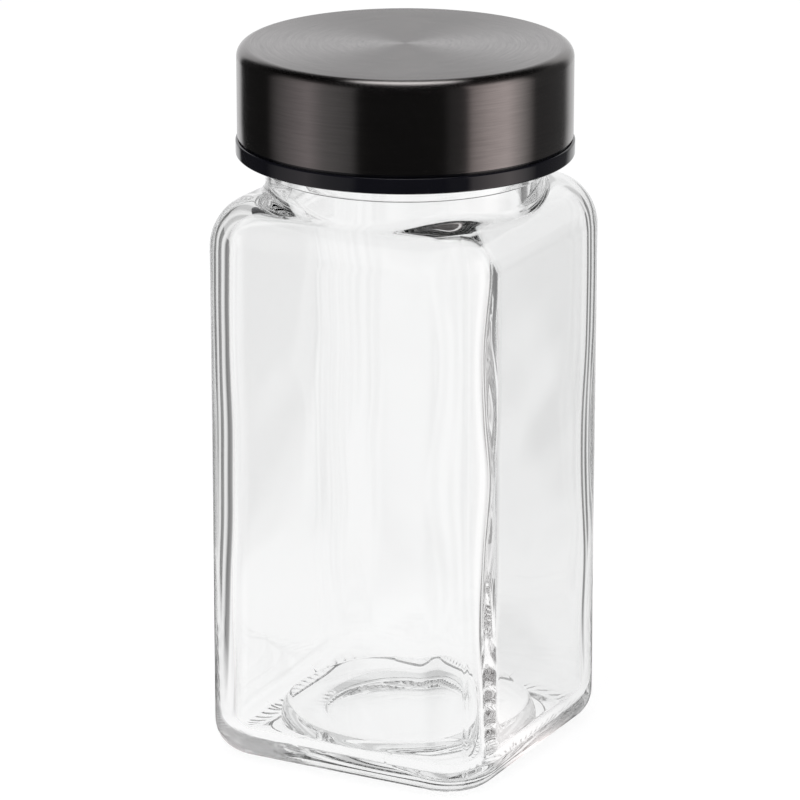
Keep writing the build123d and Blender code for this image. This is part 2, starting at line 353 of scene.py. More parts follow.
def faces_between(low, high):
    """Faces that join two rings, one of which may be a pole or have more columns."""
    if len(low) == 1:
        return [(low[0], high[(j + 1) % len(high)], high[j]) for j in range(len(high))]
    if len(high) == 1:
        return [(low[j], low[(j + 1) % len(low)], high[0]) for j in range(len(low))]
    count = min(len(low), len(high))
    low_step, high_step = len(low) // count, len(high) // count
    faces = []
    for j in range(count):
        under = [low[(j * low_step + n) % len(low)] for n in range(low_step + 1)]
        over = [high[(j * high_step + n) % len(high)] for n in range(high_step, -1, -1)]
        faces.append(under + over)
    return faces


def lathe(name, outline):
    """A mesh turned on the Z axis from points (reach, height) that start and end on it."""
    rings = Rings(np.linspace(0.0, tau, LATHE_COLUMNS, endpoint=False))
    rings.follow(outline)
    return skin(name, [rings])


def smooth_faces(mesh):
    """Shades a mesh smooth between its sharp edges."""
    mesh.shade_smooth()
    mesh.set_sharp_from_angle(angle=SHARP_ANGLE)


def put_in_scene(name, data):
    """A new object at the origin, linked to the scene."""
    thing = bpy.data.objects.new(name, data)
    bpy.context.scene.collection.objects.link(thing)
    return thing


def piece_from(name, mesh):
    """An object at the origin that shows a mesh, with smooth faces between its sharp edges."""
    smooth_faces(mesh)
    return put_in_scene(name, mesh)


def join_meshes(name, meshes):
    """One mesh made of several."""
    points, faces = [], []
    for mesh in meshes:
        first = len(points)
        points.extend(tuple(v.co) for v in mesh.vertices)
        faces.extend([first + v for v in face.vertices] for face in mesh.polygons)
        bpy.data.meshes.remove(mesh)
    return mesh_from(name, points, faces)


def give_to_frame(piece, body, node):
    """Has a finished piece ride on its body and hides the imported part that it takes the place of."""
    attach(piece, body)
    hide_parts(node)


# Geometry Nodes


def new_tree(name, inputs):
    """A Geometry Nodes tree with a Geometry input, the named inputs and a Geometry output."""
    tree = bpy.data.node_groups.new(name, "GeometryNodeTree")
    face = tree.interface
    face.new_socket("Geometry", in_out="INPUT", socket_type="NodeSocketGeometry")
    for label, kind in inputs:
        face.new_socket(label, in_out="INPUT", socket_type=kind)
    face.new_socket("Geometry", in_out="OUTPUT", socket_type="NodeSocketGeometry")
    return tree


def finish_tree(tree, shape, material):
    """Ends a tree in Realize Instances and Set Material."""
    realized = add(tree, "GeometryNodeRealizeInstances", {"Geometry": shape})
    painted = add(tree, "GeometryNodeSetMaterial", {"Geometry": realized.outputs[0], "Material": material})
    add(tree, "NodeGroupOutput", {"Geometry": painted.outputs[0]})


def bake_tree(piece, tree, values):
    """Runs a tree on a piece with its inputs set, and keeps the result as a plain mesh."""
    modifier = piece.modifiers.new(tree.name, "NODES")
    modifier.node_group = tree
    left = dict(values)
    for item in tree.interface.items_tree:
        if item.in_out == "INPUT" and item.name in left:
            modifier[item.identifier] = left.pop(item.name)
    if left:
        raise RuntimeError(f"{tree.name} has no input named {sorted(left)}")
    graph = bpy.context.evaluated_depsgraph_get()
    shaped = bpy.data.meshes.new_from_object(piece.evaluated_get(graph))
    piece.modifiers.clear()
    piece.data = shaped
    smooth_faces(shaped)


def add(tree, kind, inputs=None, **settings):
    """A new node with its settings made and its inputs set or linked."""
    node = tree.nodes.new(kind)
    for key, value in settings.items():
        setattr(node, key, value)
    for key, value in (inputs or {}).items():
        if isinstance(value, bpy.types.NodeSocket):
            tree.links.new(value, node.inputs[key])
        else:
            node.inputs[key].default_value = value
    return node


def calc(tree, operation, *values):
    """The result of a Math node on numbers or sockets."""
    node = add(tree, "ShaderNodeMath", dict(enumerate(values)), operation=operation)
    return node.outputs[0]


def knurl_tree():
    """Presses strokes up into the band of the base that carries the knurl attributes."""
    tree = new_tree("Base knurl", (
        ("Depth", "NodeSocketFloat"),
        ("Strokes", "NodeSocketInt"),
        ("Material", "NodeSocketMaterial"),
    ))
    given = add(tree, "NodeGroupInput")
    along = add(tree, "GeometryNodeInputNamedAttribute", {"Name": "knurl_along"}, data_type="FLOAT")
    band = add(tree, "GeometryNodeInputNamedAttribute", {"Name": "knurl_band"}, data_type="FLOAT")
    turns = calc(tree, "MULTIPLY", along.outputs[0], given.outputs["Strokes"])
    wave = calc(tree, "MULTIPLY_ADD", calc(tree, "COSINE", calc(tree, "MULTIPLY", turns, tau)), -0.5, 0.5)
    lift = calc(tree, "MULTIPLY", calc(tree, "MULTIPLY", wave, band.outputs[0]), given.outputs["Depth"])
    offset = add(tree, "ShaderNodeCombineXYZ", {"Z": lift})
    moved = add(tree, "GeometryNodeSetPosition", {
        "Geometry": given.outputs["Geometry"], "Offset": offset.outputs[0],
    })
    finish_tree(tree, moved.outputs[0], given.outputs["Material"])
    return tree


def rib_tree():
    """Sets upright ribs round the skirt of the insert."""
    tree = new_tree("Insert ribs", (
        ("Count", "NodeSocketInt"),
        ("Ring radius", "NodeSocketFloat"),
        ("Middle height", "NodeSocketFloat"),
        ("Rib size", "NodeSocketVector"),
        ("Material", "NodeSocketMaterial"),
    ))
    given = add(tree, "NodeGroupInput")
    ring = add(tree, "GeometryNodeMeshCircle", {
        "Vertices": given.outputs["Count"], "Radius": given.outputs["Ring radius"],
    })
    rib = add(tree, "GeometryNodeMeshCube", {"Size": given.outputs["Rib size"]})
    index = add(tree, "GeometryNodeInputIndex")
    angle = calc(tree, "DIVIDE", calc(tree, "MULTIPLY", index.outputs[0], tau), given.outputs["Count"])
    turn = add(tree, "ShaderNodeCombineXYZ", {"Z": angle})
    spin = add(tree, "FunctionNodeEulerToRotation", {"Euler": turn.outputs[0]})
    ribs = add(tree, "GeometryNodeInstanceOnPoints", {
        "Points": ring.outputs[0], "Instance": rib.outputs[0], "Rotation": spin.outputs[0],
    })
    lift = add(tree, "ShaderNodeCombineXYZ", {"Z": given.outputs["Middle height"]})
    raised = add(tree, "GeometryNodeTransform", {"Geometry": ribs.outputs[0], "Translation": lift.outputs[0]})
    joined = add(tree, "GeometryNodeJoinGeometry")
    tree.links.new(raised.outputs[0], joined.inputs[0])
    tree.links.new(given.outputs["Geometry"], joined.inputs[0])
    finish_tree(tree, joined.outputs[0], given.outputs["Material"])
    return tree


# The glass


def column_angles():
    """Angles of the mesh's columns round the jar, closer together at the corners."""
    share = np.arange(OCTANT_COLUMNS + 1) / OCTANT_COLUMNS
    eased = (1 - CORNER_CROWDING) * share + CORNER_CROWDING * (1 - (1 - share) ** 2)
    octant = eased * pi / 4
    angles = []
    for quarter in range(4):
        start = quarter * pi / 2
        angles.extend(start + octant[:-1])
        angles.extend(start + pi / 2 - octant[:0:-1])
    return np.array(angles)


def divided(angles, parts):
    """The same angles with evenly spaced ones between them."""
    following = np.append(angles[1:], angles[0] + tau)
    shares = np.arange(parts) / parts
    return (angles[:, None] + (following - angles)[:, None] * shares).ravel()


def rings_along(curve, last, steps):
    """Rings (reach, height) at even steps along a curve in every column, up to the sample named last."""
    columns = np.arange(curve[0].shape[1])
    rings = []
    for n in range(steps + 1):
        at = last * n / steps
        under = np.minimum(np.floor(at).astype(int), len(curve[0]) - 2)
        share = at - under
        rings.append([
            part[under, columns] * (1 - share) + part[under + 1, columns] * share for part in curve
        ])
    return rings


def blend_to_cylinder(roof, wall_radius, blend, roof_steps):
    """Rings along a curved roof, then round a blend and onto an upright cylinder.

    The blend is a circle in each column's own plane that touches both the roof and the
    cylinder. Rings run from the start of the roof to the cylinder.
    """
    reach, height = roof
    centre_reach = wall_radius + blend
    columns = np.arange(reach.shape[1])
    low = height[np.abs(reach - centre_reach).argmin(axis=0), columns]
    high = np.full(reach.shape[1], np.max(height) + 2 * blend)
    for _ in range(BISECTION_STEPS):
        middle = (low + high) / 2
        away = np.hypot(reach - centre_reach, height - middle)
        touching = away.min(axis=0) < blend
        low, high = np.where(touching, middle, low), np.where(touching, high, middle)
    last = np.hypot(reach - centre_reach, height - high).argmin(axis=0)
    # The blend starts with the ring that the roof's would end with
    rings = rings_along(roof, last, roof_steps)[:-1]
    start = np.arctan2(height[last, columns] - high, reach[last, columns] - centre_reach) % tau
    for n in range(BLEND_STEPS + 1):
        turn = start + (pi - start) * n / BLEND_STEPS
        rings.append((centre_reach + blend * np.cos(turn), high + blend * np.sin(turn)))
    return rings


def roof_curve(angles, half, corner, low, radius, top_reach):
    """A rolled edge from an upright wall to a flat roof, sampled finely in every column."""
    turns = np.linspace(0.0, pi / 2, CURVE_SAMPLES)
    inset = radius * (1 - np.cos(turns))
    reach = np.array([square_reach(angles, half - d, corner - d) for d in inset])
    height = np.repeat((low + radius * np.sin(turns))[:, None], len(angles), axis=1)
    flat = np.linspace(0.0, 1.0, CURVE_SAMPLES)[1:, None]
    reach = np.vstack([reach, reach[-1] * (1 - flat) + top_reach * flat])
    height = np.vstack([height, np.repeat(height[-1:], len(flat), axis=0)])
    return reach, height


def smooth_share(shares, at):
    """A smooth curve through evenly spaced values, read at a position from 0 to 1."""
    values = (2 * shares[0] - shares[1], *shares, 2 * shares[-1] - shares[-2])
    place = min(max(at, 0.0), 1.0) * (len(shares) - 1)
    n = min(int(place), len(shares) - 2)
    t = place - n
    a, b, c, d = values[n : n + 4]
    return 0.5 * (2 * b + (c - a) * t + (2 * a - 5 * b + 4 * c - d) * t**2 + (3 * b - a - 3 * c + d) * t**3)


def inner_corners(angles, at, radius):
    """The radius inside the corner that each column belongs to, at a height from 0 to 1."""
    radii = np.array([radius * smooth_share(shares, at) for shares in INNER_CORNER_SHARES])
    return radii[(angles % tau // (pi / 2)).astype(int) % len(radii)]


def ripple(angles, height):
    """How the inside of the glass waves in and out at a height, from -1 to 1."""
    waves = sum(
        strength * np.sin(round_jar * angles + start + upwards * height)
        for strength, round_jar, start, upwards in RIPPLE_WAVES
    )
    return waves / sum(strength for strength, *_ in RIPPLE_WAVES)


def thread_rise(angles, height, sizes):
    """How far the thread stands out of the neck at a height, from 0 to 1."""
    best = np.zeros(len(angles))
    root, tip = sizes.thread_root / 2, sizes.thread_tip / 2
    for turn in range(int(sizes.thread_turns) + 1):
        along = angles % tau + tau * turn
        middle = sizes.thread_low + sizes.thread_pitch * along / tau
        flank = (root - np.abs(height - middle)) / (root - tip)
        ends = np.minimum(along, tau * sizes.thread_turns - along) / THREAD_RUN_OUT
        best = np.maximum(best, np.clip(flank, 0.0, 1.0) * np.clip(ends, 0.0, 1.0))
    return best * best * (3 - 2 * best)


def underside(sizes, angles):
    """The rings of the base from its middle: dish, bevel of the punt, ledge, bevel of the panel."""
    half, corner = sizes.body_width / 2, sizes.corner_radius
    bearing = half - sizes.heel_radius - sizes.bearing_width
    panel = bearing - sizes.panel_edge
    ledge = bearing - sizes.punt_ledge
    punt = ledge - sizes.panel_edge
    punt_top = sizes.panel_rise + sizes.punt_edge_rise
    rings = Rings(angles)
    for share in np.linspace(0, 1, DISH_STEPS + 1):
        rings.add(punt * share, punt_top + sizes.punt_dish * (1 - share**2))
    for across, down in PUNT_EDGE_SHARES:
        rings.add(punt + sizes.panel_edge * across, punt_top - sizes.punt_edge_rise * down)
    rings.add(ledge, sizes.panel_rise)
    square = square_reach(angles, panel, corner - sizes.panel_edge)
    rings.add((ledge + square) / 2, sizes.panel_rise)
    rings.add(square, sizes.panel_rise)
    middle = square_reach(angles, (panel + bearing) / 2, corner - sizes.panel_edge / 2)
    rings.add(middle, sizes.panel_rise / 2)
    return rings


def bearing_ring(sizes, angles):
    """The rings that the jar stands on and the start of its heel."""
    half, corner, heel = sizes.body_width / 2, sizes.corner_radius, sizes.heel_radius
    insets = [heel + sizes.bearing_width * share for share in BEARING_SHARES]
    insets += [heel * share for share in HEEL_SHARES]
    rings = Rings(angles)
    for inset in insets:
        into_heel = max(heel - inset, 0.0)
        ring_corner = max(corner - min(inset, heel), SMALLEST_CORNER)
        height = heel - sqrt(heel**2 - into_heel**2)
        rings.add(square_reach(angles, half - inset, ring_corner), height)
    return rings


def outer_wall(sizes, angles):
    """The rings of the heel, the wall, the shoulder and the bead, with the mould seams raised."""
    half, corner, heel = sizes.body_width / 2, sizes.corner_radius, sizes.heel_radius
    rings = Rings(angles)
    for turn in np.radians(np.linspace(HEEL_START, 90, HEEL_STEPS + 1)):
        inset = heel * (1 - sin(turn))
        rings.add(square_reach(angles, half - inset, corner - inset), heel * (1 - cos(turn)))
    shoulder_low = sizes.shoulder_top - sizes.shoulder_radius
    wall = square_reach(angles, half, corner)
    for height in np.linspace(heel, shoulder_low, WALL_RINGS + 2)[1:-1]:
        rings.add(wall, height)
    roof = roof_curve(angles, half, corner, shoulder_low, sizes.shoulder_radius, sizes.neck_radius)
    rings.follow(blend_to_cylinder(roof, sizes.neck_radius, sizes.neck_blend, SHOULDER_STEPS))

    edge = sizes.bead_round
    centre = sizes.neck_radius + sizes.bead_overhang - edge
    bead_high = sizes.bead_low + sizes.bead_height
    rings.add(sizes.neck_radius, sizes.bead_low)
    rings.follow(arc((centre, sizes.bead_low + edge), edge, -90, 0, BEAD_STEPS))
    rings.follow(arc((centre, bead_high - edge), edge, 0, 90, BEAD_STEPS))
    rings.add(sizes.finish_radius + BEVEL_WIDTH, bead_high)

    seams = [int(np.argmin(np.abs(angles - seam))) for seam in SEAM_ANGLES]
    for reach in rings.reaches:
        reach[seams] += sizes.seam_height
    return rings


def finish_and_bore(sizes, angles):
    """The rings of the threaded finish, the rim and the straight bore."""
    rim, edge = GLASS_BOX[1][2], sizes.rim_round
    bead_high = sizes.bead_low + sizes.bead_height
    rings = Rings(angles)
    rings.add(sizes.finish_radius, bead_high + BEVEL_HEIGHT)
    for height in np.linspace(bead_high + THREAD_ROOM, rim - edge - RIM_ROOM, THREAD_RINGS):
        rise = sizes.thread_height * thread_rise(angles, height, sizes)
        rings.add(sizes.finish_radius + rise, height)
    rings.follow(arc((sizes.finish_radius - edge, rim - edge), edge, 0, 90, RIM_STEPS))
    rings.follow(arc((sizes.mouth_radius + edge, rim - edge), edge, 90, 180, RIM_STEPS))
    for height in np.linspace(rim - edge, sizes.shoulder_top + BORE_ROOM, BORE_RINGS + 1)[1:]:
        rings.add(sizes.mouth_radius, height)
    return rings


def inside(sizes, angles):
    """The rings of the inside, from its shoulder down its wavy wall to the middle of its floor."""
    half, radius = sizes.body_width / 2, sizes.inner_corner_radius
    heel_low = sizes.floor_thickness + sizes.inner_heel_radius
    wall_top = sizes.shoulder_top - sizes.shoulder_wall - sizes.inner_shoulder_radius
    rings = Rings(angles)

    # The shoulder's rings are worked out from below and then turned over
    inner_half = half - sizes.wall * WALL_SHARES[-1]
    corners = inner_corners(angles, 1.0, radius)
    shoulder = sizes.inner_shoulder_radius
    roof = roof_curve(angles, inner_half, corners, wall_top, shoulder, sizes.mouth_radius)
    blended = blend_to_cylinder(roof, sizes.mouth_radius, sizes.mouth_blend, INNER_SHOULDER_STEPS)
    rings.follow(reversed(blended))

    for height in np.linspace(wall_top, heel_low, INNER_WALL_RINGS + 1)[1:]:
        share = (height - heel_low) / (wall_top - heel_low)
        inner_half = half - sizes.wall * smooth_share(WALL_SHARES, share)
        fade = min(1.0, RIPPLE_FADE * (1 - share), RIPPLE_FADE * share)
        waves = sizes.ripple * fade * ripple(angles, height)
        rings.add(square_reach(angles, inner_half, inner_corners(angles, share, radius)) + waves, height)

    # The heel runs down to the thin floor in the corners, and straight into the disc at the sides
    inner_half = half - sizes.wall * WALL_SHARES[0]
    corners = inner_corners(angles, 0.0, radius)
    disc = inner_half - sizes.disc_inset
    curve = roof_curve(angles, inner_half, corners, heel_low, sizes.inner_heel_radius, disc)
    met = (curve[0] <= disc + POLE_REACH).argmax(axis=0)
    for reach, height in rings_along(curve, met, INNER_HEEL_STEPS)[1:]:
        rings.add(reach, 2 * heel_low - height)
    edge = sizes.disc_round
    disc_top = sizes.floor_thickness + sizes.disc_rise
    rings.follow(arc((disc - edge, disc_top - edge), edge, 0, 90, DISC_EDGE_STEPS))
    for share in np.linspace(1, 0, DISC_RINGS + 1)[1:]:
        rings.add((disc - edge) * share, disc_top)
    return rings


def mark_knurl(mesh, sizes, fine):
    """Writes where each point of the bearing ring lies along it and across it."""
    places = np.empty(len(mesh.vertices) * 3, dtype=np.float32)
    mesh.vertices.foreach_get("co", places)
    x, y, z = places.reshape(-1, 3).T
    half = sizes.body_width / 2
    reach = square_reach(fine, half - sizes.heel_radius, sizes.corner_radius)
    line = np.stack([reach * np.cos(fine), reach * np.sin(fine)], axis=1)
    steps = np.linalg.norm(np.roll(line, -1, axis=0) - line, axis=1)
    run = np.concatenate([[0.0], np.cumsum(steps)]) / steps.sum()
    turned = np.arctan2(y, x) % tau
    along = np.interp(turned, np.append(fine, fine[0] + tau), run)
    inset = square_reach(turned, half, sizes.corner_radius) - np.hypot(x, y)
    outer = np.clip((inset - KNURL_OUTER) / KNURL_OUTER_FADE, 0, 1)
    inner = np.clip((KNURL_INNER - inset) / KNURL_INNER_FADE, 0, 1)
    band = np.where(z < KNURL_TOP, outer * inner, 0.0)
    for name, values in (("knurl_along", along), ("knurl_band", band)):
        mesh.attributes.new(name, "FLOAT", "POINT").data.foreach_set("value", values.astype(np.float32))


class JAR_OT_glass(bpy.types.Operator):
    """Makes the square glass jar with its neck, thread, base and wavy inside"""

    bl_idname = "spice_jar.glass"
    bl_label = "Glass Jar"

    def execute(self, context):
        sizes = context.scene.jar_glass
        angles = column_angles()
        fine = divided(angles, KNURL_DIVISION)
        mesh = skin("jar_glass", (
            underside(sizes, angles), bearing_ring(sizes, fine), outer_wall(sizes, angles),
            finish_and_bore(sizes, angles), inside(sizes, angles),
        ))
        mark_knurl(mesh, sizes, fine)
        piece = piece_from("jar_glass", mesh)
        bake_tree(piece, knurl_tree(), {
            "Depth": sizes.knurl_depth,
            "Strokes": sizes.knurl_strokes,
            "Material": clear_glass(context.scene.jar_finishes),
        })
        give_to_frame(piece, "jar", "glass_jar")
        return {"FINISHED"}


class JAR_OT_lid_shell(bpy.types.Operator):
    """Makes the drawn cup of brushed steel"""

    bl_idname = "spice_jar.lid_shell"
    bl_label = "Lid Shell"

    def execute(self, context):
        sizes = context.scene.jar_lid
        top, low = SHELL_BOX[1][2], SHELL_BOX[0][2]
        outer, edge, lip = sizes.shell_radius, sizes.shell_edge, sizes.shell_lip
        bore = outer - sizes.shell_thickness
        inner_edge = edge - sizes.shell_thickness
        plate = top - sizes.shell_thickness
        outline = [(0.0, plate), (bore / 2, plate)]
        outline += arc((bore - inner_edge, plate - inner_edge), inner_edge, 90, 0, RING_EDGE_STEPS)
        outline += arc((bore + lip, low + lip), lip, 180, 270, THIN_EDGE_STEPS)
        outline += arc((outer - lip, low + lip), lip, 270, 360, THIN_EDGE_STEPS)
        outline += [(outer, low + (top - low) * share) for share in (0.25, 0.5, 0.75)]
        outline += arc((outer - edge, top - edge), edge, 0, 90, WIDE_EDGE_STEPS)
        outline += [(outer * share, top) for share in (0.75, 0.5, 0.25, 0.08)]
        outline.append((0.0, top))
        piece = piece_from("steel_shell", lathe("steel_shell", outline))
        piece.data.materials.append(brushed_steel(context.scene.jar_finishes))
        give_to_frame(piece, "lid", "lid_shell")
        return {"FINISHED"}


def insert_thread(sizes, pitch):
    """The lid's thread: a closed ridge inside the skirt, sunk a little into its wall."""
    bore, behind = sizes.skirt_bore, sizes.skirt_bore + sizes.skirt_wall / 4
    root, tip = sizes.thread_root / 2, sizes.thread_tip / 2
    turns = sizes.thread_turns
    steps = int(THREAD_STEPS_PER_TURN * turns)
    points, faces = [], []
    for n in range(steps + 1):
        turn = turns * n / steps
        turned = sizes.thread_turned + tau * turn
        rise = min(1.0, turn * tau / THREAD_RUN_OUT, (turns - turn) * tau / THREAD_RUN_OUT)
        crest = bore - sizes.thread_height * max(rise, THREAD_END_SHARE)
        middle = sizes.thread_low + pitch * turn
        shape = ((behind, -root), (bore, -root), (crest, -tip), (crest, tip), (bore, root), (behind, root))
        points.extend((reach * cos(turned), reach * sin(turned), middle + up) for reach, up in shape)
    size = len(shape)
    for n in range(steps):
        for k in range(size):
            a, b = n * size + k, n * size + (k + 1) % size
            faces.append((a, a + size, b + size, b))
    faces.append(tuple(range(size)))
    faces.append(tuple(range(steps * size, (steps + 1) * size))[::-1])
    return mesh_from("insert_thread", points, faces)


class JAR_OT_screw_insert(bpy.types.Operator):
    """Makes the moulded insert: plate, threaded skirt, ribs and the ring under the shell"""

    bl_idname = "spice_jar.screw_insert"
    bl_label = "Screw Insert"

    def execute(self, context):
        sizes = context.scene.jar_lid
        low, plate = INSERT_BOX[0][2], INSERT_BOX[1][2]
        under_plate, rim = LINER_BOX[1][2], LINER_BOX[0][2]
        bore = sizes.skirt_bore
        skirt = bore + sizes.skirt_wall
        shell_bore = sizes.shell_radius - sizes.shell_thickness
        spigot = shell_bore - sizes.spigot_clearance
        flange_top = low + sizes.flange_height
        spigot_top = flange_top + sizes.shell_gap + sizes.spigot_height
        crown = shell_bore - sizes.crown_step
        edge = sizes.flange_radius - sizes.flange_round
        held = bore - sizes.liner_bead
        outline = [(0.0, under_plate), (bore, under_plate), (bore, rim), (held, rim)]
        outline += [(held, rim - sizes.liner_bead_height), (bore, rim - sizes.liner_bead_height)]
        outline += [(bore, low + sizes.skirt_lead), (bore + sizes.skirt_lead, low)]
        outline += arc((edge, low + sizes.flange_round), sizes.flange_round, -90, 0, RING_EDGE_STEPS)
        outline += arc((edge, flange_top - sizes.flange_round), sizes.flange_round, 0, 90, RING_EDGE_STEPS)
        outline += [(spigot, flange_top), (spigot, spigot_top), (skirt, spigot_top)]
        outline += [(skirt, under_plate), (crown, under_plate), (crown, plate), (0.0, plate)]
        body = lathe("insert_body", outline)
        thread = insert_thread(sizes, context.scene.jar_glass.thread_pitch)
        piece = piece_from("black_insert", join_meshes("black_insert", [body, thread]))
        inner = skirt - sizes.skirt_wall / 2
        bake_tree(piece, rib_tree(), {
            "Count": sizes.rib_count,
            "Ring radius": (spigot + inner) / 2,
            "Middle height": (spigot_top + under_plate) / 2,
            "Rib size": (spigot - inner, sizes.rib_width, under_plate - spigot_top),
            "Material": gloss_plastic(context.scene.jar_finishes),
        })
        give_to_frame(piece, "lid", "screw_insert")
        return {"FINISHED"}


class JAR_OT_seal_liner(bpy.types.Operator):
    """Makes the foam disc that seals the rim of the glass"""

    bl_idname = "spice_jar.seal_liner"
    bl_label = "Seal Liner"

    def execute(self, context):
        sizes = context.scene.jar_lid
        reach = LINER_BOX[1][0]
        low, top = LINER_BOX[0][2], LINER_BOX[1][2]
        edge = sizes.liner_round
        outline = [(0.0, low), (reach / 2, low)]
        outline += arc((reach - edge, low + edge), edge, -90, 0, THIN_EDGE_STEPS)
        outline += arc((reach - edge, top - edge), edge, 0, 90, THIN_EDGE_STEPS)
        outline += [(reach / 2, top), (0.0, top)]
        piece = piece_from("foam_liner", lathe("foam_liner", outline))
        piece.data.materials.append(white_foam(context.scene.jar_finishes))
        give_to_frame(piece, "liner", "seal_liner")
        return {"FINISHED"}


# Finishes


# Brush marks on the steel, as (how many to the metre across them, how quickly they change along
# them, detail), and how much of the pattern the two finer ones make.
BRUSH_LINES = (5200.0, 2.2, 3.0)
BRUSH_STROKES = (2100.0, 4.0, 2.0)
BRUSH_CLOUDS = (120.0, 1.5, 2.0)
LINE_SHARE, STROKE_SHARE = 0.6, 0.4
# How near the axis the brush marks stop turning round it, and how near the top of the shell a
# place counts as on it, in metres.
AXIS_REACH = 0.00005
TOP_DEPTH = 0.00005
# What a lamp's light keeps of its colour when it goes through the glass.
GLASS_SHADOW = (0.95, 0.955, 0.955, 1.0)


def new_material(name, inputs):
    """A material with inputs of its Principled shader set, its tree and that shader."""
    material = bpy.data.materials.new(name)
    material.use_nodes = True
    tree = material.node_tree
    shader = tree.nodes["Principled BSDF"]
    for key, value in inputs.items():
        shader.inputs[key].default_value = value
    return material, tree, shader


def opaque(tint, factor=1.0):
    """A colour as a node takes it, made lighter or darker by a factor."""
    return (*(factor * part for part in tint), 1.0)


def spread(tree, share, low, high):
    """The value between low and high that a share from 0 to 1 stands for."""
    return calc(tree, "MULTIPLY_ADD", share, high - low, low)


def noise(tree, place, scale, detail, roughness=0.5):
    """A noise pattern over a place."""
    inputs = {"Vector": place, "Scale": scale, "Detail": detail, "Roughness": roughness}
    return add(tree, "ShaderNodeTexNoise", inputs).outputs[0]


def mix_colours(tree, share, first, second, **settings):
    """The colour that lies between two colours or sockets by a share."""
    inputs = {0: share, 6: first, 7: second}
    return add(tree, "ShaderNodeMix", inputs, data_type="RGBA", **settings).outputs[2]


def raise_bumps(tree, shader, height, strength, distance):
    """Has a pattern of heights show as bumps under a shader's gloss."""
    bump = add(tree, "ShaderNodeBump", {"Height": height, "Strength": strength, "Distance": distance})
    tree.links.new(bump.outputs[0], shader.inputs["Normal"])


def clear_glass(finishes):
    """Clear glass that lets lamps through, with a faint unevenness left by the mould."""
    material, tree, shader = new_material("clear glass", {
        "Base Color": opaque(finishes.glass), "Roughness": 0.0, "IOR": 1.5, "Transmission Weight": 1.0,
    })
    place = add(tree, "ShaderNodeTexCoord").outputs["Object"]
    wave = noise(tree, place, scale=130.0, detail=1.0)
    raise_bumps(tree, shader, wave, strength=0.25, distance=0.00006)
    ray = add(tree, "ShaderNodeLightPath").outputs
    clear = add(tree, "ShaderNodeBsdfTransparent", {"Color": GLASS_SHADOW})
    mixed = add(tree, "ShaderNodeMixShader", {
        0: ray["Is Shadow Ray"], 1: shader.outputs[0], 2: clear.outputs[0],
    })
    tree.links.new(mixed.outputs[0], tree.nodes["Material Output"].inputs["Surface"])
    return material


def brushed_steel(finishes):
    """Black-tinted steel with brush lines that run round the axis on the top and the side."""
    material, tree, shader = new_material("dark brushed steel", {
        "Metallic": 1.0, "Anisotropic": 0.9, "Anisotropic Rotation": 0.25,
    })
    place = add(tree, "ShaderNodeTexCoord").outputs["Object"]
    x, y, z = add(tree, "ShaderNodeSeparateXYZ", {0: place}).outputs
    squares = calc(tree, "ADD", calc(tree, "MULTIPLY", x, x), calc(tree, "MULTIPLY", y, y))
    reach = calc(tree, "MAXIMUM", calc(tree, "SQRT", squares), AXIS_REACH)
    across = calc(tree, "SUBTRACT", reach, z)
    east, north = calc(tree, "DIVIDE", x, reach), calc(tree, "DIVIDE", y, reach)

    def brush(fineness, run, detail):
        spot = add(tree, "ShaderNodeCombineXYZ", {
            0: calc(tree, "MULTIPLY", across, fineness),
            1: calc(tree, "MULTIPLY", east, run),
            2: calc(tree, "MULTIPLY", north, run),
        })
        return noise(tree, spot.outputs[0], scale=1.0, detail=detail, roughness=0.65)

    lines = calc(tree, "MULTIPLY", brush(*BRUSH_LINES), LINE_SHARE)
    both = calc(tree, "ADD", lines, calc(tree, "MULTIPLY", brush(*BRUSH_STROKES), STROKE_SHARE))
    # The lines show more on the flat top than on the side
    on_top = calc(tree, "GREATER_THAN", z, SHELL_BOX[1][2] - TOP_DEPTH)
    contrast = spread(tree, on_top, 0.65, 1.75)
    tone = calc(tree, "MULTIPLY_ADD", calc(tree, "SUBTRACT", both, 0.5), contrast, 1.0)
    tone = calc(tree, "MULTIPLY", tone, spread(tree, brush(*BRUSH_CLOUDS), 0.92, 1.08))
    shown = add(tree, "ShaderNodeCombineColor", {0: tone, 1: tone, 2: tone}).outputs[0]
    tinted = mix_colours(tree, 1.0, opaque(finishes.steel), shown, blend_type="MULTIPLY")
    tree.links.new(tinted, shader.inputs["Base Color"])
    tree.links.new(spread(tree, both, 0.17, 0.27), shader.inputs["Roughness"])
    tangent = add(tree, "ShaderNodeTangent", direction_type="RADIAL", axis="Z")
    tree.links.new(tangent.outputs[0], shader.inputs["Tangent"])
    raise_bumps(tree, shader, both, strength=0.12, distance=0.00003)
    return material


def gloss_plastic(finishes):
    """Gloss black moulded plastic with the faintest unevenness and handling marks."""
    material, tree, shader = new_material("black gloss plastic", {"IOR": 1.5})
    place = add(tree, "ShaderNodeTexCoord").outputs["Object"]
    haze = noise(tree, place, scale=260.0, detail=4.0)
    tree.links.new(spread(tree, haze, 0.02, 0.10), shader.inputs["Roughness"])
    wave = noise(tree, place, scale=420.0, detail=2.0)
    raise_bumps(tree, shader, wave, strength=0.2, distance=0.00002)
    tone = mix_colours(tree, haze, opaque(finishes.plastic), opaque(finishes.plastic, 1.6))
    tree.links.new(tone, shader.inputs["Base Color"])
    return material


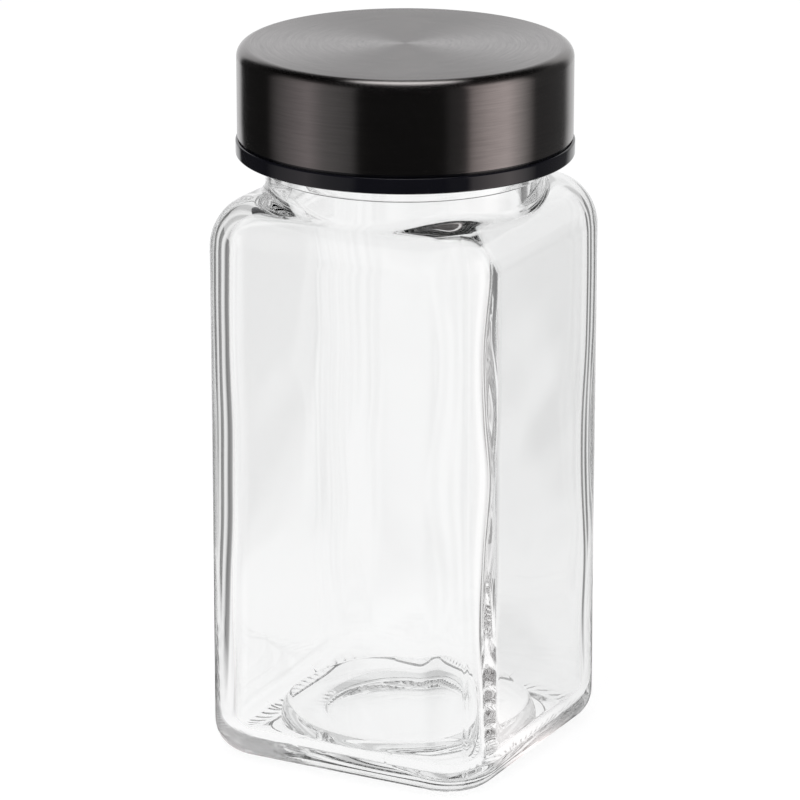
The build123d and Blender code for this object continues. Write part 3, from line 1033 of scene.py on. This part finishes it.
def white_foam(finishes):
    """Matt closed-cell foam with fine pores."""
    material, tree, shader = new_material("white foam", {})
    place = add(tree, "ShaderNodeTexCoord").outputs["Object"]
    pores = noise(tree, place, scale=900.0, detail=3.0)
    tone = mix_colours(tree, pores, opaque(finishes.foam, 0.9), opaque(finishes.foam))
    tree.links.new(tone, shader.inputs["Base Color"])
    tree.links.new(spread(tree, pores, 0.8, 0.95), shader.inputs["Roughness"])
    cells = add(tree, "ShaderNodeTexVoronoi", {"Vector": place, "Scale": 4200.0})
    raise_bumps(tree, shader, cells.outputs["Distance"], strength=0.5, distance=0.0001)
    return material


# The studio

# What polished surfaces see round the jar, as (degrees from the camera, colour of the light):
# a bright softbox on the right, a weaker one on the left, dark cloth in front and between,
# and the white background behind.
SOFTBOXES = (
    (-180, (0.98, 0.98, 0.99)),
    (-150, (0.90, 0.90, 0.91)),
    (-144, (0.03, 0.03, 0.03)),
    (-105, (0.03, 0.03, 0.03)),
    (-94, (0.28, 0.27, 0.27)),
    (-68, (0.72, 0.66, 0.67)),
    (-56, (0.38, 0.37, 0.37)),
    (-36, (0.22, 0.22, 0.22)),
    (-31, (0.028, 0.028, 0.028)),
    (26, (0.028, 0.028, 0.028)),
    (30, (0.09, 0.09, 0.09)),
    (41, (0.09, 0.09, 0.09)),
    (45, (0.75, 0.68, 0.67)),
    (58, (1.35, 1.22, 1.20)),
    (72, (1.70, 1.54, 1.52)),
    (86, (0.80, 0.76, 0.75)),
    (97, (0.10, 0.10, 0.10)),
    (136, (0.12, 0.12, 0.12)),
    (148, (0.86, 0.86, 0.86)),
    (180, (0.98, 0.98, 0.99)),
)
SOFTBOX_SCALE = 2.0
# How much of the softboxes a direction sees, by the sine of its height, and how much of the
# lamp overhead, by the cosine of its angle from the lamp, which leans away from the camera.
BOXES_BY_HEIGHT = ((0.0, 1.0), (0.44, 1.0), (0.58, 0.2), (0.7, 0.02))
LAMP_BY_HEIGHT = ((0.95, 0.0), (0.972, 1.0))
LAMP_SCALE = 4.0
LAMP_LEAN = radians(10)
# What rays see that were reflected inside the glass, round the jar: white panels and dark
# gaps, which draw the lines along the edges of the glass. Rays that go straight through see
# only white.
PANELS = (
    (0.00, 0.85), (0.05, 0.25), (0.16, 0.15), (0.22, 0.75), (0.30, 0.9), (0.36, 0.2),
    (0.47, 0.3), (0.52, 0.9), (0.60, 0.8), (0.68, 0.18), (0.80, 0.3), (0.86, 0.95), (1.00, 0.85),
)
PANEL_TURNS = 4.0
# How far the world's panels are evened out, and to which brightness.
PANEL_HAZE, HAZE_LEVEL = 0.6, 0.85
# The white floor behind the jar, as (half width, length) in metres, and how softly it ends.
WHITE_LANE = (0.036, 0.09)
LANE_FADE = (0.02, 0.07)
# The light that falls on matt surfaces from the world and from the floor, and the floor's own
# colour and glow.
WORLD_LIGHT = (0.55, 0.55, 0.56, 1.0)
FLOOR_LIGHT = 0.6
FLOOR_COLOUR = 0.32
FLOOR_GLOW = 0.72
# The soft lamp that casts the jar's shadow.
OVERHEAD_SIZE, OVERHEAD_POWER = 0.9, 9.0
OVERHEAD_PLACE = (0.1, -0.25, 1.1)
OVERHEAD_AIM = (0.0, 0.0, 0.05)
SENSOR_WIDTH = 36.0
NEAREST, FARTHEST = 0.01, 50.0
BOUNCES, CLEAR_BOUNCES = 64, 16


def grey(level):
    """A grey as a node takes it."""
    return (level, level, level, 1.0)


def ramp(tree, fac, stops):
    """A Color Ramp node's colour, from (position, colour) stops."""
    node = add(tree, "ShaderNodeValToRGB", {0: fac})
    elements = node.color_ramp.elements
    while len(elements) > 1:
        elements.remove(elements[-1])
    elements[0].position, elements[0].color = stops[0]
    for position, shade in stops[1:]:
        elements.new(position).color = shade
    return node.outputs[0]


def grey_ramp(tree, fac, stops):
    """A Color Ramp node's grey, from (position, level) stops."""
    return ramp(tree, fac, [(position, grey(level)) for position, level in stops])


def reach_towards(tree, vector, direction):
    """How far a vector reaches in a direction."""
    node = add(tree, "ShaderNodeVectorMath", {0: vector, 1: direction}, operation="DOT_PRODUCT")
    return node.outputs["Value"]


def combine(tree, operation, first, second):
    """The two colours' product or sum, as the operation says."""
    return add(tree, "ShaderNodeVectorMath", {0: first, 1: second}, operation=operation).outputs[0]


def stronger(tree, light, factor):
    """A light's colour times a factor."""
    return add(tree, "ShaderNodeVectorMath", {0: light, "Scale": factor}, operation="SCALE").outputs[0]


def turn_round_jar(tree, vector, azimuth):
    """How far round the jar a direction lies, 0.5 towards the camera, rising to its right."""
    forward = reach_towards(tree, vector, (sin(azimuth), -cos(azimuth), 0.0))
    sideways = reach_towards(tree, vector, (cos(azimuth), sin(azimuth), 0.0))
    return calc(tree, "MULTIPLY_ADD", calc(tree, "ARCTAN2", sideways, forward), 1 / tau, 0.5)


def softbox_light(tree, turn):
    """The colour of the softboxes, which shows in the steel and the plastic."""
    stops = [(degrees / 360 + 0.5, opaque(light, 1 / SOFTBOX_SCALE)) for degrees, light in SOFTBOXES]
    return stronger(tree, ramp(tree, turn, stops), SOFTBOX_SCALE)


def panel_light(tree, turn):
    """The brightness of the white panels, which shows through the glass."""
    return grey_ramp(tree, calc(tree, "FRACT", calc(tree, "MULTIPLY", turn, PANEL_TURNS)), PANELS)


def pick_light(tree, ray, camera, matt, glossy, panels):
    """What a ray sees: a light each for the camera, for matt and for glossy surfaces and for glass.

    Through glass a ray sees white or, once it was reflected, the panels.
    """
    reflected = calc(tree, "MINIMUM", ray["Glossy Depth"], 1.0)
    through_glass = mix_colours(tree, reflected, grey(1.0), panels)
    seen = mix_colours(tree, ray["Is Glossy Ray"], matt, glossy)
    seen = mix_colours(tree, ray["Is Transmission Ray"], seen, through_glass)
    return mix_colours(tree, ray["Is Camera Ray"], seen, camera)


def studio_world(azimuth):
    """The world: white for the camera, softboxes for gloss, panels for glass, soft light for the rest."""
    world = bpy.data.worlds.new("studio")
    bpy.context.scene.world = world
    world.use_nodes = True
    tree = world.node_tree
    direction = add(tree, "ShaderNodeTexCoord").outputs["Generated"]
    turn = turn_round_jar(tree, direction, azimuth)
    up = add(tree, "ShaderNodeSeparateXYZ", {0: direction}).outputs[2]
    # Higher up the softboxes give way to dark cloth
    boxes = combine(tree, "MULTIPLY", softbox_light(tree, turn), grey_ramp(tree, up, BOXES_BY_HEIGHT))
    # The lamp overhead, which draws the bright line along the edge of the lid
    aim = (-sin(LAMP_LEAN) * sin(azimuth), sin(LAMP_LEAN) * cos(azimuth), cos(LAMP_LEAN))
    near = reach_towards(tree, direction, aim)
    lamp = stronger(tree, grey_ramp(tree, near, LAMP_BY_HEIGHT), LAMP_SCALE)
    panels = mix_colours(tree, PANEL_HAZE, panel_light(tree, turn), grey(HAZE_LEVEL))
    ray = add(tree, "ShaderNodeLightPath").outputs
    seen = pick_light(tree, ray, grey(1.0), WORLD_LIGHT, combine(tree, "ADD", boxes, lamp), panels)
    tree.links.new(seen, tree.nodes["Background"].inputs["Color"])
    world.cycles.sampling_method = "NONE"


def floor_material(azimuth):
    """The pale floor: nearly white with the jar's shadow, and the studio's lights for gloss and glass."""
    material, tree, shader = new_material("pale floor", {
        "Base Color": grey(FLOOR_COLOUR), "Roughness": 1.0, "Specular IOR Level": 0.0,
    })
    place = add(tree, "ShaderNodeTexCoord").outputs["Object"]
    turn = turn_round_jar(tree, place, azimuth)
    aside = calc(tree, "ABSOLUTE", reach_towards(tree, place, (cos(azimuth), sin(azimuth), 0.0)))
    distance = add(tree, "ShaderNodeVectorMath", {0: place}, operation="LENGTH").outputs["Value"]
    beside = calc(tree, "DIVIDE", calc(tree, "SUBTRACT", aside, WHITE_LANE[0]), LANE_FADE[0])
    beyond = calc(tree, "DIVIDE", calc(tree, "SUBTRACT", distance, WHITE_LANE[1]), LANE_FADE[1])
    off_lane = calc(tree, "MAXIMUM", beside, beyond)
    panels = mix_colours(tree, off_lane, grey(1.0), panel_light(tree, turn), clamp_factor=True)
    ray = add(tree, "ShaderNodeLightPath").outputs
    boxes = softbox_light(tree, turn)
    seen = pick_light(tree, ray, grey(FLOOR_GLOW), grey(FLOOR_LIGHT), boxes, panels)
    glow = add(tree, "ShaderNodeEmission", {"Color": seen})
    both = add(tree, "ShaderNodeAddShader", {0: shader.outputs[0], 1: glow.outputs[0]})
    polished = calc(tree, "MAXIMUM", ray["Is Glossy Ray"], ray["Is Transmission Ray"])
    chosen = add(tree, "ShaderNodeMixShader", {0: polished, 1: both.outputs[0], 2: glow.outputs[0]})
    tree.links.new(chosen.outputs[0], tree.nodes["Material Output"].inputs["Surface"])
    material.cycles.emission_sampling = "NONE"
    return material


class JAR_OT_studio(bpy.types.Operator):
    """Sets the floor, the lamp, the world and the camera"""

    bl_idname = "spice_jar.studio"
    bl_label = "Studio"

    def execute(self, context):
        scene = context.scene
        studio = scene.jar_studio
        reach, low = studio.floor_radius, -studio.floor_drop
        angles = np.linspace(0, tau, STUDIO_FLOOR_COLUMNS, endpoint=False)
        rim = [(reach * cos(turn), reach * sin(turn), low) for turn in angles]
        mesh = mesh_from("pale_floor", rim, [tuple(range(len(rim)))])
        mesh.materials.append(floor_material(studio.camera_azimuth))
        put_in_scene("pale_floor", mesh)

        lamp = bpy.data.lights.new("soft_overhead", "AREA")
        lamp.shape, lamp.size, lamp.energy = "DISK", OVERHEAD_SIZE, OVERHEAD_POWER
        overhead = put_in_scene("soft_overhead", lamp)
        overhead.location = OVERHEAD_PLACE
        aim = Vector(OVERHEAD_AIM) - overhead.location
        overhead.rotation_euler = aim.to_track_quat("-Z", "Y").to_euler()
        overhead.visible_glossy = False
        overhead.visible_transmission = False

        lens = bpy.data.cameras.new("studio_camera")
        lens.lens, lens.sensor_width = studio.camera_lens, SENSOR_WIDTH
        lens.clip_start, lens.clip_end = NEAREST, FARTHEST
        camera = put_in_scene("studio_camera", lens)
        camera.location = studio.camera_place
        camera.rotation_euler = (
            pi / 2 - studio.camera_pitch, 0.0, studio.camera_azimuth + studio.camera_turn
        )
        scene.camera = camera

        studio_world(studio.camera_azimuth)
        scene.view_settings.view_transform = "Standard"
        scene.cycles.max_bounces = BOUNCES
        scene.cycles.transmission_bounces = BOUNCES
        scene.cycles.glossy_bounces = BOUNCES
        scene.cycles.transparent_max_bounces = CLEAR_BOUNCES
        return {"FINISHED"}


class JAR_PT_pieces(bpy.types.Panel):
    """Lists the pieces of the jar and its studio"""

    bl_label = "Spice Jar"
    bl_idname = "JAR_PT_pieces"
    bl_space_type = "VIEW_3D"
    bl_region_type = "UI"
    bl_category = "Spice Jar"

    def draw(self, context):
        for operator in OPERATORS:
            self.layout.operator(operator.bl_idname)
        for name in GROUPS:
            group = getattr(context.scene, name)
            box = self.layout.box()
            for size in group.__annotations__:
                box.prop(group, size)


GROUPS = {
    "jar_glass": JarGlassSizes,
    "jar_lid": JarLidSizes,
    "jar_finishes": JarFinishes,
    "jar_studio": JarStudio,
}
OPERATORS = (JAR_OT_glass, JAR_OT_lid_shell, JAR_OT_screw_insert, JAR_OT_seal_liner, JAR_OT_studio)


def register():
    """Registers the classes and hangs the sizes on the scene."""
    for group in GROUPS.values():
        bpy.utils.register_class(group)
    for operator in OPERATORS:
        bpy.utils.register_class(operator)
    bpy.utils.register_class(JAR_PT_pieces)
    for name, group in GROUPS.items():
        setattr(bpy.types.Scene, name, PointerProperty(type=group))


def unregister():
    """Takes away what register added."""
    for name in GROUPS:
        delattr(bpy.types.Scene, name)
    bpy.utils.unregister_class(JAR_PT_pieces)
    for operator in reversed(OPERATORS):
        bpy.utils.unregister_class(operator)
    for group in reversed(GROUPS.values()):
        bpy.utils.unregister_class(group)


def main():
    """Makes the studio and every piece."""
    register()
    bpy.ops.spice_jar.studio()
    bpy.ops.spice_jar.glass()
    bpy.ops.spice_jar.lid_shell()
    bpy.ops.spice_jar.screw_insert()
    bpy.ops.spice_jar.seal_liner()


if __name__ == "__main__":
    main()
